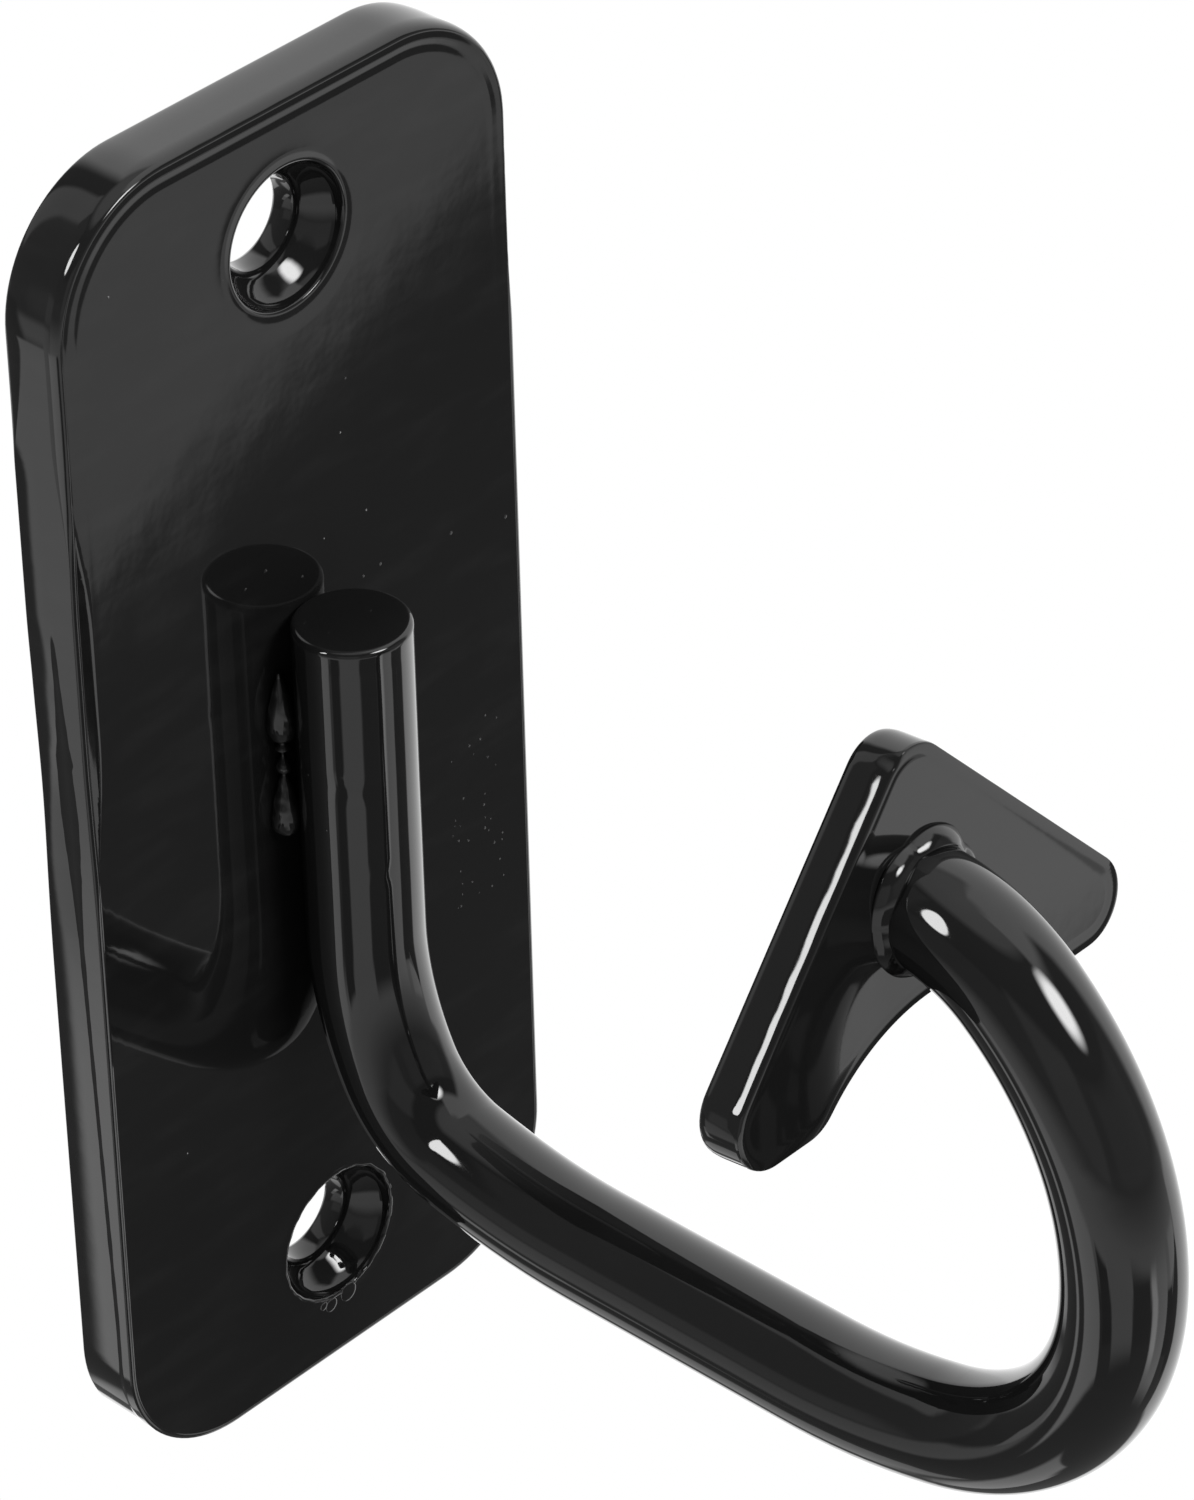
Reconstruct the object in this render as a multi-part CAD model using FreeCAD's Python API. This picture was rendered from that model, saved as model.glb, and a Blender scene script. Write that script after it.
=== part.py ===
import FreeCAD, Part
import math
import os

from FreeCAD import Placement, Rotation, Vector

# Wall hook for a hammock, welded up from a drilled flat plate, one bent round bar and a keeper tab.
# The frame: X runs across the plate, +Y points into the wall, +Z is up, and the origin is the middle
# of the plate's back face, so the hook stands out towards -Y. Lengths are millimetres, angles degrees.

# Back plate
PLATE_WIDTH = 50.0
PLATE_HEIGHT = 124.0
PLATE_THICKNESS = 6.0
PLATE_CORNER_RADIUS = 12.0
PLATE_EDGE_ROUND = 0.6

# Countersunk screw holes, one near each end of the plate
SCREW_EDGE_DISTANCE = 12.5
SCREW_BORE_DIAMETER = 8.0
COUNTERSINK_DIAMETER = 13.0
COUNTERSINK_DEPTH = 3.7

# Hook bar: a stem on the plate, a heel that turns it forward, a level run, a toe that turns it up.
# The reach is measured from the wall to the front of the toe, and sets the run's length.
HOOK_REACH = 96.4
BAR_DIAMETER = 10.0
BAR_TOP = 15.8
BAR_END_ROUND = 0.5
STEM_LENGTH = 30.0
HEEL_TURN = 90.0
HEEL_LEAD_IN_RADIUS = 30.0
HEEL_LEAD_IN_TURN = 26.0
HEEL_RADIUS = 11.0
HEEL_LEAD_OUT_RADIUS = 59.0
HEEL_LEAD_OUT_TURN = 15.0
TOE_LEAD_IN_RADIUS = 54.0
TOE_LEAD_IN_TURN = 15.0
TOE_RADIUS = 23.4
TOE_TURN = 71.0
RISE_RADIUS = 29.7
RISE_TURN = 55.0
TIP_RADIUS = 15.4
TIP_TURN = 37.0

# Keeper tab: a rounded triangle with an arched foot, on the bar's free end
TAB_WIDTH = 44.8
TAB_SIDE_ANGLE = 46.7
TAB_CORNER_RADIUS = 4.0
TAB_THICKNESS = 4.0
TAB_EDGE_ROUND = 0.6
TAB_ARCH_WIDTH = 27.0
TAB_ARCH_RISE = 5.6
TAB_ARCH_BLEND = 4.0
TAB_SEAT_HEIGHT = 13.6
TAB_LEAN = 4.5

# Weld beads
WELD_STANDOFF = 0.6
PLATE_WELD_RADIUS = 2.0
PLATE_WELD_LENGTH = 16.0
PLATE_WELD_BELOW_TOP = 4.8
TAB_WELD_RADIUS = 1.8

BAR_RADIUS = BAR_DIAMETER / 2
HEEL_BENDS = [
    (HEEL_LEAD_IN_RADIUS, HEEL_LEAD_IN_TURN),
    (HEEL_RADIUS, HEEL_TURN - HEEL_LEAD_IN_TURN - HEEL_LEAD_OUT_TURN),
    (HEEL_LEAD_OUT_RADIUS, HEEL_LEAD_OUT_TURN),
]
TOE_BENDS = [
    (TOE_LEAD_IN_RADIUS, TOE_LEAD_IN_TURN),
    (TOE_RADIUS, TOE_TURN),
    (RISE_RADIUS, RISE_TURN),
    (TIP_RADIUS, TIP_TURN),
]

STRAIGHT_DOWN = -90.0
STRAIGHT_UP_TURN = 180.0
NEARLY = 1e-3
PARALLEL_ANGLE = 2.0
ALONG_X = Vector(1, 0, 0)
ALONG_Y = Vector(0, 1, 0)
ALONG_Z = Vector(0, 0, 1)


class BarPath:
    """The bar's centre line, drawn step by step in the plane X = 0."""

    def __init__(self, start, heading):
        """Start at a point, with the heading measured from +Y towards +Z."""
        self.point = start
        self.heading = heading
        self.edges = []

    def ahead(self):
        """Return the unit vector along the heading."""
        angle = math.radians(self.heading)
        return Vector(0, math.cos(angle), math.sin(angle))

    def straight(self, length):
        """Go straight on."""
        end = self.point + self.ahead() * length
        self.edges.append(Part.LineSegment(self.point, end).toShape())
        self.point = end

    def bend(self, radius, turn):
        """Turn from down to forward to up, on an arc that meets the step before it smoothly."""
        angle = math.radians(self.heading)
        centre = self.point + Vector(0, math.sin(angle), -math.cos(angle)) * radius
        half_way = self._on_arc(centre, radius, self.heading - turn / 2)
        end = self._on_arc(centre, radius, self.heading - turn)
        self.edges.append(Part.Arc(self.point, half_way, end).toShape())
        self.point = end
        self.heading -= turn

    @staticmethod
    def _on_arc(centre, radius, heading):
        """Return the point of the arc where the path has this heading."""
        angle = math.radians(heading)
        return centre + Vector(0, -math.sin(angle), math.cos(angle)) * radius

    def sweep(self, radius):
        """Return the round bar along the path so far."""
        first = self.edges[0]
        start = first.valueAt(first.FirstParameter)
        circle = Part.makeCircle(radius, start, first.tangentAt(first.FirstParameter))
        return Part.Wire(self.edges).makePipe(Part.Face(Part.Wire(circle)))


def parallel(first, second):
    """Tell whether two unit vectors lie along the same line."""
    return abs(first.dot(second)) > math.cos(math.radians(PARALLEL_ANGLE))


def round_rims(solid, normal, radius):
    """Round the outline of a flat piece on both of its broad faces."""
    edges = []
    for face in solid.Faces:
        flat = face.Surface.TypeId == "Part::GeomPlane"
        if flat and parallel(face.normalAt(0, 0), normal):
            edges.extend(face.OuterWire.Edges)
    return solid.makeFillet(radius, edges)


def edges_along(solid, direction):
    """Return the straight edges that run along a direction."""
    found = []
    for edge in solid.Edges:
        straight = edge.Curve.TypeId == "Part::GeomLine"
        if straight and parallel(edge.tangentAt(edge.FirstParameter), direction):
            found.append(edge)
    return found


def screw_hole(height):
    """Return the space of one countersunk hole, entered from the plate's front face."""
    front = Vector(0, -PLATE_THICKNESS, height)
    bore_radius = SCREW_BORE_DIAMETER / 2
    bore = Part.makeCylinder(bore_radius, PLATE_THICKNESS, front, ALONG_Y)
    cone = Part.makeCone(COUNTERSINK_DIAMETER / 2, bore_radius, COUNTERSINK_DEPTH, front, ALONG_Y)
    return bore.fuse(cone)


def back_plate():
    """Return the drilled plate with rounded corners and eased edges."""
    corner = Vector(-PLATE_WIDTH / 2, -PLATE_THICKNESS, -PLATE_HEIGHT / 2)
    plate = Part.makeBox(PLATE_WIDTH, PLATE_THICKNESS, PLATE_HEIGHT, corner)
    plate = plate.makeFillet(PLATE_CORNER_RADIUS, edges_along(plate, ALONG_Y))
    plate = round_rims(plate, ALONG_Y, PLATE_EDGE_ROUND)
    hole_height = PLATE_HEIGHT / 2 - SCREW_EDGE_DISTANCE
    return plate.cut(screw_hole(hole_height)).cut(screw_hole(-hole_height))


def forward_travel(bends, turned):
    """Return how far a chain of bends carries the bar forward, up to where it points straight up.

    turned is the angle that the bar has turned from straight down before the first bend.
    """
    travel = 0.0
    for radius, turn in bends:
        after = min(turned + turn, STRAIGHT_UP_TURN)
        travel += radius * (math.cos(math.radians(turned)) - math.cos(math.radians(after)))
        turned = after
    return travel


def run_length():
    """Return the level run that brings the front of the toe out to the hook's reach."""
    bends = forward_travel(HEEL_BENDS, 0.0) + forward_travel(TOE_BENDS, HEEL_TURN)
    return HOOK_REACH - PLATE_THICKNESS - BAR_DIAMETER - bends


def bar_path():
    """Return the bar's centre line from its cut top to the keeper tab's face."""
    path = BarPath(Vector(0, -PLATE_THICKNESS - BAR_RADIUS, BAR_TOP), STRAIGHT_DOWN)
    path.straight(STEM_LENGTH)
    for radius, turn in HEEL_BENDS:
        path.bend(radius, turn)
    path.straight(run_length())
    for radius, turn in TOE_BENDS:
        path.bend(radius, turn)
    return path


def tab_placement(seat):
    """Return the move that takes the tab's own frame to the bar's end, leaning back at the top."""
    lean = Rotation(ALONG_X, -TAB_LEAN)
    return Placement(seat - lean.multVec(ALONG_Z * TAB_SEAT_HEIGHT), lean)


def behind_tab_face(placement):
    """Return a block that fills the space just behind the tab's front face, around the bar's end."""
    reach = 2 * BAR_DIAMETER
    block = Part.makeBox(2 * reach, reach, 2 * reach, Vector(-reach, 0, TAB_SEAT_HEIGHT - reach))
    block.Placement = placement
    return block


def hook_bar(behind_tab):
    """Return the bent bar, its top edge eased and its free end cut to the tab's lean."""
    path = bar_path()
    path.straight(BAR_RADIUS)
    bar = path.sweep(BAR_RADIUS).cut(behind_tab)
    top_rim = [edge for edge in bar.Edges if abs(edge.BoundBox.ZMin - BAR_TOP) < NEARLY]
    return bar.makeFillet(BAR_END_ROUND, top_rim)


def keeper_tab(placement):
    """Return the tab: front face on Y = 0 and foot on Z = 0 of its own frame, then moved to its seat."""
    side = math.radians(TAB_SIDE_ANGLE)
    half_base = TAB_WIDTH / 2 - TAB_CORNER_RADIUS + TAB_CORNER_RADIUS / math.tan(side / 2)
    corners = [
        Vector(-half_base, 0, 0),
        Vector(half_base, 0, 0),
        Vector(0, 0, half_base * math.tan(side)),
    ]
    triangle = Part.Face(Part.makePolygon(corners + corners[:1]))
    tab = triangle.extrude(ALONG_Y * TAB_THICKNESS)
    tab = tab.makeFillet(TAB_CORNER_RADIUS, edges_along(tab, ALONG_Y))
    arch_radius = ((TAB_ARCH_WIDTH / 2) ** 2 + TAB_ARCH_RISE ** 2) / (2 * TAB_ARCH_RISE)
    arch_centre = Vector(0, 0, TAB_ARCH_RISE - arch_radius)
    tab = tab.cut(Part.makeCylinder(arch_radius, TAB_THICKNESS, arch_centre, ALONG_Y))
    arch_ends = [edge for edge in edges_along(tab, ALONG_Y) if at_arch_end(edge)]
    tab = tab.makeFillet(TAB_ARCH_BLEND, arch_ends)
    tab = round_rims(tab, ALONG_Y, TAB_EDGE_ROUND)
    tab.Placement = placement
    return tab


def at_arch_end(edge):
    """Tell whether a cross edge of the tab is where the arch meets the foot."""
    middle = edge.BoundBox.Center
    return abs(abs(middle.x) - TAB_ARCH_WIDTH / 2) < NEARLY and abs(middle.z) < NEARLY


def plate_weld(side, plate, bar):
    """Return the bead between the stem and the plate on one side, which is -1 or 1."""
    across = side * 2 * math.sqrt(BAR_RADIUS * WELD_STANDOFF)
    out = -PLATE_THICKNESS - WELD_STANDOFF
    top = BAR_TOP - PLATE_WELD_BELOW_TOP - PLATE_WELD_RADIUS
    bottom = top - PLATE_WELD_LENGTH + 2 * PLATE_WELD_RADIUS
    ends = [Vector(across, out, height) for height in (bottom, top)]
    bead = Part.makeCylinder(PLATE_WELD_RADIUS, top - bottom, ends[0], ALONG_Z)
    for end in ends:
        bead = bead.fuse(Part.makeSphere(PLATE_WELD_RADIUS, end))
    return bead.removeSplitter().cut(plate).cut(bar)


def tab_weld(seat, placement, behind_tab, bar):
    """Return the bead around the bar's end, on the tab's front face."""
    normal = placement.Rotation.multVec(ALONG_Y)
    ring = Part.makeTorus(BAR_RADIUS + WELD_STANDOFF, TAB_WELD_RADIUS, seat, normal)
    return ring.cut(behind_tab).cut(bar)


def build():
    """Return every piece of the hook by name."""
    seat = bar_path().point
    placement = tab_placement(seat)
    behind_tab = behind_tab_face(placement)
    plate = back_plate()
    bar = hook_bar(behind_tab)
    return {
        "back_plate": plate,
        "hook_bar": bar,
        "keeper_tab": keeper_tab(placement),
        "plate_weld_left": plate_weld(-1, plate, bar),
        "plate_weld_right": plate_weld(1, plate, bar),
        "tab_weld": tab_weld(seat, placement, behind_tab, bar),
    }


os.makedirs("parts", exist_ok=True)
for name, shape in build().items():
    shape.exportStep(f"parts/{name}.step")
    state = f"{len(shape.Solids)} solid, valid {shape.isValid()}"
    print(f"{name}: {state}, volume {shape.Volume:.1f} mm3, {shape.BoundBox}")
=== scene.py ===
"""Dresses a welded hammock hook in its gloss black coating and sets the camera and the studio around it."""

import logging
import math
import random
from dataclasses import dataclass, field
from enum import Enum
from typing import Any

import bmesh
import bpy
from bmesh.types import BMEdge, BMFace, BMVert
from mathutils import Matrix, Vector, noise


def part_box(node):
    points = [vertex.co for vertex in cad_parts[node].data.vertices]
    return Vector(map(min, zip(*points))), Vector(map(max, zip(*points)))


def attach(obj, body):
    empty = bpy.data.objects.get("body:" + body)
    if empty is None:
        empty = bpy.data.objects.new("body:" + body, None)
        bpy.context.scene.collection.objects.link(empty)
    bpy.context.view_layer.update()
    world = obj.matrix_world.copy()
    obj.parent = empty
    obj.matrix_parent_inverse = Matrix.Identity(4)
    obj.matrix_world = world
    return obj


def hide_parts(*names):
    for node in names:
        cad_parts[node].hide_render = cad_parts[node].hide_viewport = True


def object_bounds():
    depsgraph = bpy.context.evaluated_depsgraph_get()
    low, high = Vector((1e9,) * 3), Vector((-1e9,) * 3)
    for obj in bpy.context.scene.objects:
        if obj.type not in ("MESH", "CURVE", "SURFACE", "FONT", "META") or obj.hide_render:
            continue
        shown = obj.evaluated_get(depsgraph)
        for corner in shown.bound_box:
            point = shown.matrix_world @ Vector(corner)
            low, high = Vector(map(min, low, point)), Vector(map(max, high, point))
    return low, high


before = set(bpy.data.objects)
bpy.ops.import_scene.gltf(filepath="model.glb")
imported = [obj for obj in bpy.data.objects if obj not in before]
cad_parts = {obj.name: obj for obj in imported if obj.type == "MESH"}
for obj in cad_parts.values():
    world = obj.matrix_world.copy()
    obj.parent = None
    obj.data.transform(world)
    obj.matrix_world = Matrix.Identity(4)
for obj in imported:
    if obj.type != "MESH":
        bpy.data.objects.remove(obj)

CAD_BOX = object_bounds()
BODY = "root"

# The shapes are worked out in millimetres and made metres when a piece is finished.
MM = 0.001
TINY = 1e-4
FRONT = Vector((0, -1, 0))
ACROSS = Vector((1, 0, 0))
INWARD = Vector((0, 1, 0))
UP = Vector((0, 0, 1))

# A range has a low and a high end, and a wave has a height and a length.
Range = tuple[float, float]
Wave = tuple[float, float]
Steps = list[tuple[float, float]]
Pairs = tuple[tuple[float, float], ...]
Triples = tuple[tuple[float, float, float], ...]

log = logging.getLogger("hammock_hook")


def grey(level: float) -> tuple[float, float, float, float]:
    """Return an opaque grey."""
    return (level, level, level, 1.0)


class Signal:
    """A shader value; arithmetic on it adds Math nodes to its tree."""

    def __init__(self, socket: bpy.types.NodeSocket | None) -> None:
        """Wrap one output socket."""
        self.socket = socket

    def _math(self, operation: str, *values: Any) -> "Signal":
        """Return the result of one Math node, whose inputs are numbers or Signals."""
        bench = Bench(self.socket.id_data)
        return bench.make("ShaderNodeMath", {"operation": operation}, dict(enumerate(values)))

    def __add__(self, other: Any) -> "Signal":
        """Return self + other."""
        return self._math("ADD", self, other)

    __radd__ = __add__

    def __sub__(self, other: Any) -> "Signal":
        """Return self - other."""
        return self._math("SUBTRACT", self, other)

    def __rsub__(self, other: Any) -> "Signal":
        """Return other - self."""
        return self._math("SUBTRACT", other, self)

    def __mul__(self, other: Any) -> "Signal":
        """Return self * other."""
        return self._math("MULTIPLY", self, other)

    __rmul__ = __mul__

    def __truediv__(self, other: Any) -> "Signal":
        """Return self / other."""
        return self._math("DIVIDE", self, other)

    def __pow__(self, other: Any) -> "Signal":
        """Return self to the power of other."""
        return self._math("POWER", self, other)

    def __abs__(self) -> "Signal":
        """Return the size of self without its sign."""
        return self._math("ABSOLUTE", self)

    def arcsine(self) -> "Signal":
        """Return the angle in radians whose sine is self."""
        return self._math("ARCSINE", self)

    def bearing(self, ahead: "Signal") -> "Signal":
        """Return the angle in radians whose tangent is self over ahead."""
        return self._math("ARCTAN2", self, ahead)

    def wrapped(self, limit: float) -> "Signal":
        """Return self wrapped into the range from -limit to limit."""
        return self._math("WRAP", self, limit, -limit)


class Bench:
    """Adds nodes to one shader tree."""

    def __init__(self, tree: bpy.types.NodeTree) -> None:
        """Work on this tree."""
        self.tree = tree

    @classmethod
    def fresh(cls, owner: bpy.types.Material | bpy.types.World) -> "Bench":
        """Return a bench on the emptied tree of a material or a world."""
        owner.use_nodes = True
        owner.node_tree.nodes.clear()
        return cls(owner.node_tree)

    def plug(self, socket: bpy.types.NodeSocket, value: Any) -> None:
        """Link a Signal to a socket, or set a plain value on it."""
        if isinstance(value, Signal):
            self.tree.links.new(value.socket, socket)
        else:
            socket.default_value = value

    def make(
        self,
        kind: str,
        settings: dict[str, Any] | None = None,
        sockets: dict[str | int, Any] | None = None,
        output: str | int = 0,
    ) -> Signal:
        """Add any node.

        Args:
            kind: The node's type.
            settings: Its settings, set first; stops gives a ramp's positions and grey values.
            sockets: Values or Signals for its inputs.
            output: The output to return.

        Returns:
            The chosen output.
        """
        node = self.tree.nodes.new(kind)
        for name, value in (settings or {}).items():
            if name == "stops":
                self._set_stops(node.color_ramp, value)
            else:
                setattr(node, name, value)
        for name, value in (sockets or {}).items():
            self.plug(node.inputs[name], value)
        return Signal(node.outputs[output] if len(node.outputs) else None)

    @staticmethod
    def _set_stops(ramp: bpy.types.ColorRamp, stops: Steps) -> None:
        """Give a ramp its stops as positions and grey values."""
        while len(ramp.elements) < len(stops):
            ramp.elements.new(1.0)
        for element, (position, level) in zip(ramp.elements, stops):
            element.position = position
            element.color = grey(level)

    def fade(self, value: Signal, low: float, high: float) -> Signal:
        """Return a smooth step from 0 at low to 1 at high, which may be the lower number."""
        if low > high:
            return 1 - self.fade(value, high, low)
        sockets = {"Value": value, "From Min": low, "From Max": high}
        return self.make("ShaderNodeMapRange", {"interpolation_type": "SMOOTHSTEP"}, sockets)

    def grain(self, coords: Signal, wave: float, detail: float = 2.0) -> Signal:
        """Return noise from 0 to 1 whose bumps are about wave millimetres apart."""
        sockets = {"Vector": coords, "Scale": 1 / (wave * MM), "Detail": detail}
        return self.make("ShaderNodeTexNoise", None, sockets)

    def blend(self, mask: Signal, under: Any, over: Any) -> Signal:
        """Return the colour under where the mask is 0 and the colour over where it is 1."""
        # A Mix node takes its factor in input 0, colours in inputs 6 and 7, and gives a colour in output 2.
        return self.make("ShaderNodeMix", {"data_type": "RGBA"}, {0: mask, 6: under, 7: over}, 2)


@dataclass(frozen=True)
class GlossCoat:
    """Gloss black coating: a dark base, a mirror top, orange peel, slow waves, wipe marks and dust nibs.

    Waves, heights, spacings and radii are in millimetres.
    """

    name: str
    base: float = 0.008
    refraction: float = 1.5
    roughness: float = 0.04
    haze: float = 0.05
    haze_wave: float = 17.0
    haze_range: Range = (0.55, 0.8)
    smear: float = 0.0012
    smear_wave: float = 9.0
    smear_range: Range = (0.45, 0.75)
    smear_stretch: float = 4.0
    cloud_detail: float = 4.0
    peel: Wave = (0.0022, 2.6)
    swell: Wave = (0.012, 13.0)
    swell_detail: float = 1.0
    speck: float = 0.10
    nib_spacing: float = 2.4
    nib_radius: float = 0.11
    nib_core: float = 0.4
    nib_height: float = 0.05
    nib_share: float = 0.12
    nib_cut: float = 0.01

    def material(self) -> bpy.types.Material:
        """Return the coating as a material."""
        material = bpy.data.materials.new(self.name)
        bench = Bench.fresh(material)
        coords = bench.make("ShaderNodeTexCoord", None, None, "Object")
        nibs = self._nibs(bench, coords)
        peel = bench.grain(coords, self.peel[1]) * (self.peel[0] * MM)
        swell = bench.grain(coords, self.swell[1], self.swell_detail) * (self.swell[0] * MM)
        height = peel + swell + nibs * (self.nib_height * MM)
        haze = bench.fade(bench.grain(coords, self.haze_wave, self.cloud_detail), *self.haze_range)
        stretch = (1.0, 1.0, self.smear_stretch)
        wiped = bench.make("ShaderNodeMapping", None, {"Vector": coords, "Scale": stretch})
        smear = bench.fade(bench.grain(wiped, self.smear_wave, self.cloud_detail), *self.smear_range)
        tone = bench.blend(smear, grey(self.base), grey(self.base + self.smear))
        sockets = {
            "Base Color": bench.blend(nibs, tone, grey(self.speck)),
            "Roughness": haze * self.haze + self.roughness,
            "Normal": bench.make("ShaderNodeBump", None, {"Distance": 1.0, "Height": height}),
            "IOR": self.refraction,
        }
        shader = bench.make("ShaderNodeBsdfPrincipled", None, sockets)
        bench.make("ShaderNodeOutputMaterial", None, {"Surface": shader})
        return material

    def _nibs(self, bench: Bench, coords: Signal) -> Signal:
        """Return a mask of sparse dust nibs.

        Args:
            bench: The material's bench.
            coords: Object coordinates.

        Returns:
            1 inside a nib and 0 elsewhere.
        """
        sockets = {"Vector": coords, "Scale": 1 / (self.nib_spacing * MM)}
        distance = bench.make("ShaderNodeTexVoronoi", None, sockets, "Distance")
        colour = bench.make("ShaderNodeTexVoronoi", None, sockets, "Color")
        pick = bench.make("ShaderNodeSeparateColor", None, {"Color": colour})
        size = self.nib_radius / self.nib_spacing
        rare = 1 - self.nib_share
        return bench.fade(distance, size, size * self.nib_core) * bench.fade(pick, rare, rare + self.nib_cut)


PLATE_COAT = GlossCoat("plate_coat", smear=0.0035)
BAR_COAT = GlossCoat("bar_coat", peel=(0.003, 3.2), swell=(0.016, 9.0), nib_share=0.04)
TAB_COAT = GlossCoat("tab_coat", nib_share=0.03)
WELD_COAT = GlossCoat("weld_coat", peel=(0.01, 0.9), swell=(0.05, 2.5), nib_share=0.0)


def only(geom: list[Any], kind: type) -> list[Any]:
    """Return the items of one kind."""
    return [item for item in geom if isinstance(item, kind)]


class Draft:
    """A mesh in the making, in millimetres, shaped by bmesh operators."""

    def __init__(self) -> None:
        """Start with an empty mesh."""
        self.bm = bmesh.new()

    def finish(self, name: str, coat: GlossCoat, node: str) -> None:
        """Close the mesh up, make it metres and hand it over as a piece of the hook.

        Args:
            name: The piece's name.
            coat: Its finish.
            node: The solid that it stands for.
        """
        bmesh.ops.remove_doubles(self.bm, verts=self.bm.verts, dist=TINY)
        bmesh.ops.recalc_face_normals(self.bm, faces=self.bm.faces)
        bmesh.ops.scale(self.bm, vec=(MM, MM, MM), verts=self.bm.verts)
        mesh = bpy.data.meshes.new(name)
        for face in self.bm.faces:
            face.smooth = True
        self.bm.to_mesh(mesh)
        self.bm.free()
        piece = bpy.data.objects.new(name, mesh)
        bpy.context.scene.collection.objects.link(piece)
        mesh.materials.append(coat.material())
        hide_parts(node)
        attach(piece, BODY)
        log.info("%s stands for %s with %d faces", name, node, len(mesh.polygons))

    def facing(self, direction: Vector) -> BMFace:
        """Return the largest face that looks along a direction."""
        flat = [face for face in self.bm.faces if face.normal.dot(direction) > 1 - TINY]
        return max(flat, key=lambda face: face.calc_area())

    def rim(self, level: float) -> list[BMEdge]:
        """Return the open edges that lie at one depth along Y."""
        edges = [edge for edge in self.bm.edges if len(edge.link_faces) < 2]
        return [edge for edge in edges if all(abs(vert.co.y - level) < TINY for vert in edge.verts)]

    def slab(self, outline: BMFace, wall: Steps, front: Steps, back: Steps) -> None:
        """Thicken a flat outline into a slab whose rims follow their own profiles.

        Args:
            outline: The face to thicken, drawn where the back rim ends.
            wall: The steps of the wall, from the back rim to the front rim.
            front: The steps of the front rim.
            back: The steps of the back rim.
        """
        made = bmesh.ops.extrude_face_region(self.bm, geom=[outline])
        bmesh.ops.translate(self.bm, vec=FRONT * wall[0][1], verts=only(made["geom"], BMVert))
        bmesh.ops.recalc_face_normals(self.bm, faces=self.bm.faces)
        self.step(FRONT, [*wall[1:], *front])
        self.step(INWARD, back)

    def step(self, direction: Vector, steps: Steps) -> None:
        """Carry a flat face inwards and outwards in steps, which leaves a stepped rim behind it.

        Args:
            direction: The way the face looks.
            steps: The inset and the rise of each step.
        """
        face = self.facing(direction)
        for inset, rise in steps:
            bmesh.ops.inset_region(self.bm, faces=[face], thickness=inset, depth=rise, use_even_offset=True)

    def chain(self, places: list[tuple[float, float, float]], closed: bool = False) -> list[Any]:
        """Return the points and edges of a new line through some places, which may run back to its start."""
        verts = [self.bm.verts.new(place) for place in places]
        return verts + [self.bm.edges.new(pair) for pair in zip(verts, verts[1:] + verts[: int(closed)])]

    def lathe(self, profile: list[Any], centre: Vector, axis: Vector, steps: int) -> None:
        """Spin the points and edges of a profile once round an axis through a centre."""
        bmesh.ops.spin(
            self.bm, geom=profile, cent=centre, axis=axis, angle=math.tau, steps=steps, use_merge=True
        )

    def shift(self, moves: dict[BMVert, Vector]) -> None:
        """Move points of the mesh, each by its own vector."""
        for vert, move in moves.items():
            vert.co += move


def rounded(inset: float, rise: float, count: int) -> Steps:
    """Return the steps of a rounded rim.

    Args:
        inset: How far the round reaches over the face.
        rise: How far it reaches down the wall.
        count: The number of steps.

    Returns:
        The inset and rise of each step, from the wall to the face.
    """
    angles = [math.radians(90 * index / count) for index in range(count + 1)]
    points = [(inset * (1 - math.cos(angle)), rise * math.sin(angle)) for angle in angles]
    return [(after[0] - before[0], after[1] - before[1]) for before, after in zip(points, points[1:])]


def fade(value: float, low: float, high: float) -> float:
    """Return a smooth step from 0 at low to 1 at high."""
    share = min(1.0, max(0.0, (value - low) / (high - low)))
    return share * share * (3 - 2 * share)


def wander(place: Vector, height: float, length: float) -> float:
    """Return smooth noise of a wave's height and length."""
    return noise.noise(place / length) * height


class Outline:
    """A flat outline, drawn step by step; its heading is measured from +X towards +Z."""

    def __init__(self, draft: Draft, start: Vector, heading: float) -> None:
        """Start at a point with a heading in degrees."""
        self.bm = draft.bm
        self.tip = self.bm.verts.new(start)
        self.heading = heading

    def line(self, length: float, spacing: float = 0.8) -> None:
        """Go straight on in short edges."""
        angle = math.radians(self.heading)
        count = max(1, round(length / spacing))
        step = Vector((math.cos(angle), 0, math.sin(angle))) * (length / count)
        for _ in range(count):
            made = bmesh.ops.extrude_vert_indiv(self.bm, verts=[self.tip])
            self.tip = made["verts"][0]
            bmesh.ops.translate(self.bm, vec=step, verts=[self.tip])

    def arc(self, radius: float, turn: float, steps: int) -> None:
        """Turn by an angle in degrees, to the left where it is positive.

        Args:
            radius: The arc's radius.
            turn: The angle turned.
            steps: The number of edges.
        """
        angle = math.radians(self.heading)
        side = math.copysign(radius, turn)
        centre = self.tip.co + Vector((-math.sin(angle), 0, math.cos(angle))) * side
        made = bmesh.ops.spin(
            self.bm, geom=[self.tip], cent=centre, axis=FRONT, angle=math.radians(turn), steps=steps
        )
        self.tip = only(made["geom_last"], BMVert)[0]
        self.heading += turn

    def fill(self) -> BMFace:
        """Close the outline and return its face."""
        bmesh.ops.remove_doubles(self.bm, verts=self.bm.verts, dist=10 * TINY)
        return bmesh.ops.edgeloop_fill(self.bm, edges=self.bm.edges)["faces"][0]


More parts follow.
